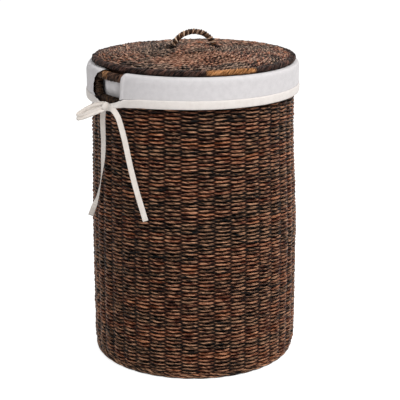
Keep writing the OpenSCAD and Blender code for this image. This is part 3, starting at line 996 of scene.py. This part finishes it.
def cuff_at(y):
    """Radius and height of the cuff's cloth, y metres along it from its inner edge."""
    for k in range(len(cuff_reach) - 1):
        if y <= cuff_reach[k + 1] or k == len(cuff_reach) - 2:
            f = (y - cuff_reach[k]) / (cuff_reach[k + 1] - cuff_reach[k])
            at = cuff_path[k].lerp(cuff_path[k + 1], f)
            return mm(at.x), mm(at.y)


def between(table, at):
    """Values between the rows of a table of (at, value, ...)."""
    for low, high in zip(table, table[1:]):
        if at <= high[0] or high is table[-1]:
            share = smooth(low[0], high[0], at)
            return [a + (b - a) * share for a, b in zip(low[1:], high[1:])]


def belly(angle, z):
    """How far the cuff stands off the band: it slouches most by its loosely tied slot."""
    high = smooth(mm(584), mm(566), z)
    drawn_in = 1 - 0.4 * smooth(radians(512), radians(526), angle)
    back = smooth(radians(465), radians(496), angle) * drawn_in
    front = 1 - smooth(radians(194), radians(220), angle)
    drape, crease = ripple(angle, 2.3, z * 5), ripple(angle, 9, z * 16)
    return high * (mm(3.6) * back + mm(1.6) * front + mm(1.0) * max(0, drape) + mm(0.4) * crease)


# The hem sags towards the slot, and its gathered ends are drawn down to the knot:
# (degrees round, then in mm how far it hangs below its sewn height, half its height and how far
# it stands out)
HEM_LINE = [
    (186.2, 12.6, 3.4, 5.4), (188.4, 10.6, 4.4, 3.6), (190.8, 8.0, 6.0, 1.4), (194, 5.0, 7.0, 0.5),
    (205, 1.5, 7.6, 0), (225, 0, 7.6, 0), (440, 0, 7.6, 0), (470, 5.0, 7.6, 0), (505, 9.5, 7.8, 0),
    (525, 11.5, 7.6, 0.4), (531, 14.0, 6.6, 1.2), (535, 16.0, 5.4, 2.8), (537.5, 17.0, 4.4, 4.6),
]
# The slot's edges: (height in mm, degrees that the edge reaches past its place)
BACK_EDGE = [(530, 1.5), (538, -1.0), (550, -0.3), (562, 1.4), (572, 4.3), (581, 8.5), (585, 11)]
FRONT_EDGE = [(532, -0.9), (543, -0.5), (562, -0.2), (575, 0.4), (582, 1.8), (585, 3.2)]


def hem_hang(angle):
    drop, half, out = between(HEM_LINE, degrees(angle))
    return mm(drop), mm(half), mm(out)


def cuff_place(x, y):
    angle = x / CUFF_R
    r, z = cuff_at(y)
    from_start = (angle - SLOT_START) * CUFF_R
    from_end = (SLOT_END - angle) * CUFF_R
    near = min(from_start, from_end)
    turned = mm(0.9) * (1 - smooth(mm(6.2), mm(7.4), near)) * smooth(mm(184), mm(190), r)
    z -= hem_hang(angle)[0] * smooth(mm(574), mm(541), z) * smooth(mm(190), mm(203), r)
    edge = FRONT_EDGE if from_start < from_end else BACK_EDGE
    angle += radians(between(edge, z * 1000)[0]) * smooth(mm(60), 0, near)
    r += belly(angle, z) * smooth(mm(190), mm(203), r) + turned
    return around(angle, r, z)


def cuff_kept(x, y):
    """The cuff is cut out at the right hand-hole."""
    angle = x / CUFF_R
    r, z = cuff_at(y)
    return not (WINDOW_START < angle < WINDOW_END and (z > mm(544) or r < mm(200)))


edge_steps = [mm(v) for v in (0, 2, 4, 6, 6.6, 7.2, 9, 12)]
cuff_columns = [SLOT_START * CUFF_R + v for v in edge_steps]
cuff_columns += spaced(SLOT_START * CUFF_R + mm(16), WINDOW_START * CUFF_R, 100)
cuff_columns += spaced(WINDOW_START * CUFF_R, WINDOW_END * CUFF_R, 24)[1:]
cuff_columns += spaced(WINDOW_END * CUFF_R, SLOT_END * CUFF_R - mm(16), 100)[1:]
cuff_columns += [SLOT_END * CUFF_R - v for v in reversed(edge_steps)]
cuff = sheet(
    "liner_cuff_cloth",
    cuff_columns,
    spaced(0, CUFF_LONG, 48),
    cuff_place,
    mm(1.0),
    "liner",
    cotton,
    ["liner_cuff"],
    keep=cuff_kept,
)

# The hem: a casing of doubled cloth, sewn along its top, with the tape inside it
HEM_MIDDLE = mm(533.8)
hem_columns = [radians(186.2) * CUFF_R + mm(v) for v in (0, 2.5, 5, 7.5, 10, 12.5, 15)]
hem_columns += [v for v in cuff_columns if v > SLOT_START * CUFF_R - mm(1)]
hem_columns += [radians(537.5) * CUFF_R - mm(v) for v in (36, 32, 28, 24, 20, 16, 12, 9, 6, 3, 0)]
HEM_WRAP = mm(34)


def hem_place(x, y):
    angle = x / CUFF_R
    a = 2 * pi * y / HEM_WRAP  # from the outer seam round the lower fold to the inner seam
    drop, half, out = hem_hang(angle)
    z = HEM_MIDDLE - drop + half * cos(a)
    puff = abs(sin(a)) ** 0.6
    gathered = smooth(0, mm(5), out)
    pucker, crease = ripple(angle, 12, a * 1.6), ripple(angle, 30, a * 0.3)
    r = CUFF_R + mm(0.6) + out + (mm(1.2) if a < pi else mm(-0.9)) * puff * (1 + gathered)
    r += belly(angle, z) + (mm(0.3) * crease + mm(1.8) * gathered * pucker) * puff
    return around(angle, r, z)


hem = sheet(
    "liner_hem_casing",
    hem_columns,
    spaced(0, HEM_WRAP, 20),
    hem_place,
    mm(0.7),
    "liner",
    hem_cotton,
    ["cuff_hem"],
)


def drawn_tape(x, y):
    angle = x / CUFF_R
    middle = HEM_MIDDLE - hem_hang(angle)[0]
    return around(angle, CUFF_R + mm(1.1) + belly(angle, middle), middle + y)


sheet(
    "drawstring_tape",
    [v for v in cuff_columns if SLOT_START * CUFF_R + mm(1) < v < SLOT_END * CUFF_R - mm(1)],
    spaced(-mm(4.5), mm(4.5), 3),
    drawn_tape,
    mm(0.9),
    "liner",
    tape_cotton,
    ["drawstring"],
)

# ---- cotton tape ----


TAPE_WIDE, TAPE_THICK = mm(10), mm(1.1)


def tape(name, route, facing, nodes, pleat=0.0):
    """Flat tape along a route. facing(point, run, share) is the way its face looks, and pleat is
    how deep it is creased lengthwise."""
    line = through(route, 5)
    reach = distances(line)
    runs = [
        (after - before).normalized()
        for before, after in zip([line[0]] + line[:-1], line[1:] + [line[-1]])
    ]
    bm = bmesh.new()
    uv = bm.loops.layers.uv.new("UVMap")
    bmesh.ops.create_grid(bm, x_segments=len(line) - 1, y_segments=8, size=0.5)
    flat = {}
    for vert in bm.verts:
        i = round((vert.co.x + 0.5) * (len(line) - 1))
        side = vert.co.y
        across = runs[i].cross(facing(line[i], runs[i], reach[i] / reach[-1])).normalized()
        face = across.cross(runs[i]).normalized()
        crease = pleat * (cos(3 * pi * side) + noise.noise(Vector((reach[i] * 90, side * 3, 4.4))))
        flat[vert] = (reach[i], side * TAPE_WIDE)
        vert.co = line[i] + across * side * TAPE_WIDE + face * (crease - TAPE_THICK / 2)
    write_uv(bm, uv, flat)
    bmesh.ops.solidify(bm, geom=bm.faces[:], thickness=TAPE_THICK)
    bmesh.ops.recalc_face_normals(bm, faces=bm.faces)
    mesh = cloth_mesh(name, bm)
    return finish_piece(name, mesh, "liner", nodes, tape_cotton), line


def off_the_wall(turns):
    """A facing straight off the wall, turned about the tape by (share of the way, degrees)."""

    def facing(point, run, share):
        away = Vector((point.x, point.y, 0)).normalized()
        return Matrix.Rotation(radians(between(turns, share)[0]), 3, run) @ away

    return facing


def on_edge(point, run, share):
    return Vector((0.05, 0.12, 1)).cross(run)


def routed(stations):
    return [around(radians(a), mm(r), mm(z)) for a, r, z in stations]


# Each station is (degrees round, radius in mm, height in mm)
front_route = routed([
    (191.2, 205.8, 526.5), (189.6, 207.2, 524.8), (187.6, 209, 522.6), (185.8, 210.6, 520.8),
    (184, 212, 519), (184.2, 213.6, 517.5), (186, 214.5, 518.5), (188, 213.5, 516.5),
    (189.8, 212, 510.5), (191.2, 210.3, 501), (192.6, 208.5, 484), (194.2, 207, 462),
    (195.8, 206.4, 438), (197.6, 206, 411), (199.9, 206, 383), (202.3, 206, 356),
    (204.4, 206.2, 334), (206.3, 206.6, 314),
])
back_route = routed([
    (166.7, 206, 521.5), (167.8, 206.2, 521), (169.2, 206.8, 520.3), (171.4, 207.6, 519.2),
    (174.5, 209, 517.8), (177.2, 210.4, 517.4), (179.6, 211.8, 517.4), (180.6, 211.9, 513),
    (179.6, 211.4, 506), (178.5, 210.2, 496), (177.9, 209, 482), (177.6, 208.2, 467),
    (177.3, 207.4, 446), (176.6, 207, 426), (175.6, 207, 406), (174.3, 207.5, 382),
    (172.4, 208.4, 355), (169.3, 210, 329), (165.6, 212.3, 308), (162.3, 213.8, 291),
])
KNOT = around(radians(181.8), mm(212), mm(518))
# Across the camera's view to the left, and towards the camera
TO_LEFT, FORWARD = Vector((-0.784, 0.621, 0)), Vector((-0.621, -0.784, 0))
# Each station is how far left of the knot, ahead of it and above it, in mm
loop_stations = [
    (2, -3, 3.5), (10, -5, 3.5), (20, -6.5, 1), (31, -7, -4), (42, -6, -10.5),
    (50, -3.5, -15.5), (52.5, 0.5, -18), (50, 4, -19), (42, 6, -17), (31, 6.5, -12.8),
    (20, 6, -8.5), (10, 4.5, -5), (2, 2.5, -3),
]
loop_route = [
    KNOT + TO_LEFT * mm(left) + FORWARD * mm(ahead) + Vector((0, 0, mm(up)))
    for left, ahead, up in loop_stations
]
front_turns = [(0, 0), (0.13, 0), (0.22, -52), (0.5, -46), (1, -30)]
back_turns = [
    (0, 0), (0.17, 0), (0.24, -48), (0.45, -28), (0.7, 24), (0.8, 6), (0.95, -60), (1, -62),
]
front_tape, front_line = tape(
    "tie_front", front_route, off_the_wall(front_turns), ["tie_lead_front", "tie_tail_front"]
)
back_tape, back_line = tape(
    "tie_back", back_route, off_the_wall(back_turns), ["tie_lead_back", "tie_tail_back"]
)
bow, bow_line = tape("tie_bow_loop", loop_route, on_edge, ["bow_loop"], pleat=mm(1.0))


KNOT_ROUND, KNOT_HALF = mm(44), mm(5.5)  # once round the knot, and half its width


def knot_place(x, y):
    """The tape's last turn, drawn tight and creased round the crossing."""
    a = 2 * pi * x / KNOT_ROUND
    full = 1 - 0.35 * (y / KNOT_HALF) ** 2 + 0.22 * ripple(a, 2.1, y * 420)
    lean = mm(1.6) * sin(a)
    return (
        KNOT
        - TO_LEFT * (y * (1 + 0.2 * cos(a)) + lean)
        + FORWARD * mm(5.6) * cos(a) * full
        + Vector((0, 0, mm(8.2) * sin(a) * full))
    )


knot = sheet(
    "tie_knot_tape",
    spaced(0, KNOT_ROUND, 32),
    spaced(-KNOT_HALF, KNOT_HALF, 10),
    knot_place,
    TAPE_THICK,
    "liner",
    tape_cotton,
    ["tie_knot"],
    closed=True,
)

# ---- rods keep their frame shape ----

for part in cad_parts.values():
    part.data.materials.clear()
    part.data.materials.append(rod_wood)

# ---- camera, light and floor ----

AZIMUTH, TILT, SWING = radians(-38.1), radians(16.3), radians(0.3)
EYE_AWAY, EYE_HIGH = 2.30, 0.972
LIGHTS_AIM = Vector((0, 0, 0.3))
WORLD_LIGHT, FLOOR_GLOW = 0.35, 0.76
PAPER_LOW, PAPER_R = mm(0.3), 20

camera = bpy.data.objects.new("camera", bpy.data.cameras.new("camera"))
camera.data.lens = 108
camera.data.sensor_width = 36
camera.location = (EYE_AWAY * sin(AZIMUTH), -EYE_AWAY * cos(AZIMUTH), EYE_HIGH)
camera.rotation_euler = (radians(90) - TILT, 0, AZIMUTH - SWING)
bpy.context.scene.collection.objects.link(camera)
bpy.context.scene.camera = camera


def softbox(name, azimuth, elevation, distance, size, power):
    """A square lamp turned to the basket: bearing and elevation in degrees, metres and watts."""
    lamp = bpy.data.objects.new(name, bpy.data.lights.new(name, "AREA"))
    lamp.data.size = size
    lamp.data.energy = power
    a, e = radians(azimuth), radians(elevation)
    away = Vector((sin(a) * cos(e), -cos(a) * cos(e), sin(e)))
    lamp.location = away * distance + LIGHTS_AIM
    lamp.rotation_mode = "QUATERNION"
    lamp.rotation_quaternion = (lamp.location - LIGHTS_AIM).to_track_quat("Z", "Y")
    bpy.context.scene.collection.objects.link(lamp)


softbox("key", 0, 50, 2.6, 0.8, 40)
softbox("side", 66, 30, 2.8, 0.9, 10.5)
softbox("back", 160, 50, 3.0, 1.5, 9)
softbox("fill", -78, 22, 2.8, 1.2, 12)


def seen_directly(tree):
    """1 for what the camera sees, also by reflection or through something clear, and else 0."""
    ray = add(tree, "LightPath").outputs
    seen = maths(tree, "MAXIMUM", ray["Is Camera Ray"], ray["Is Glossy Ray"])
    return maths(tree, "MAXIMUM", seen, ray["Is Transmission Ray"])


# The background looks white, and lights the basket by less than that
world = bpy.data.worlds.new("studio")
world.use_nodes = True
bpy.context.scene.world = world
sky = world.node_tree
sky.nodes.clear()
strength = mapped(sky, seen_directly(sky), 0, 1, WORLD_LIGHT, 1.0)
backdrop = add(sky, "Background", {"Color": (1, 1, 1, 1), "Strength": strength})
add(sky, "OutputWorld", {"Surface": backdrop.outputs[0]})

# A sheet of white paper. It glows where the camera sees it, so that it shows no edge against the
# background, and lights the basket only as matt paper does
floor_mesh = bpy.data.meshes.new("floor")
bm = bmesh.new()
bmesh.ops.create_circle(bm, cap_ends=True, segments=64, radius=PAPER_R)
bmesh.ops.translate(bm, verts=bm.verts, vec=(0, 0, -PAPER_LOW))
bm.to_mesh(floor_mesh)
bm.free()
ground = bpy.data.objects.new("floor", floor_mesh)
bpy.context.scene.collection.objects.link(ground)
paper, paper_tree = new_look("white_paper")
matt = add(paper_tree, "BsdfDiffuse", {"Color": (0.8, 0.8, 0.8, 1)}).outputs[0]
glow = add(paper_tree, "Emission", {"Color": (1, 1, 1, 1), "Strength": FLOOR_GLOW}).outputs[0]
lifted = add(paper_tree, "AddShader", {0: matt, 1: glow}).outputs[0]
shown = add(paper_tree, "MixShader", {0: seen_directly(paper_tree), 1: matt, 2: lifted})
add(paper_tree, "OutputMaterial", {"Surface": shown.outputs[0]})
floor_mesh.materials.append(paper)

bpy.context.scene.view_settings.view_transform = "Standard"
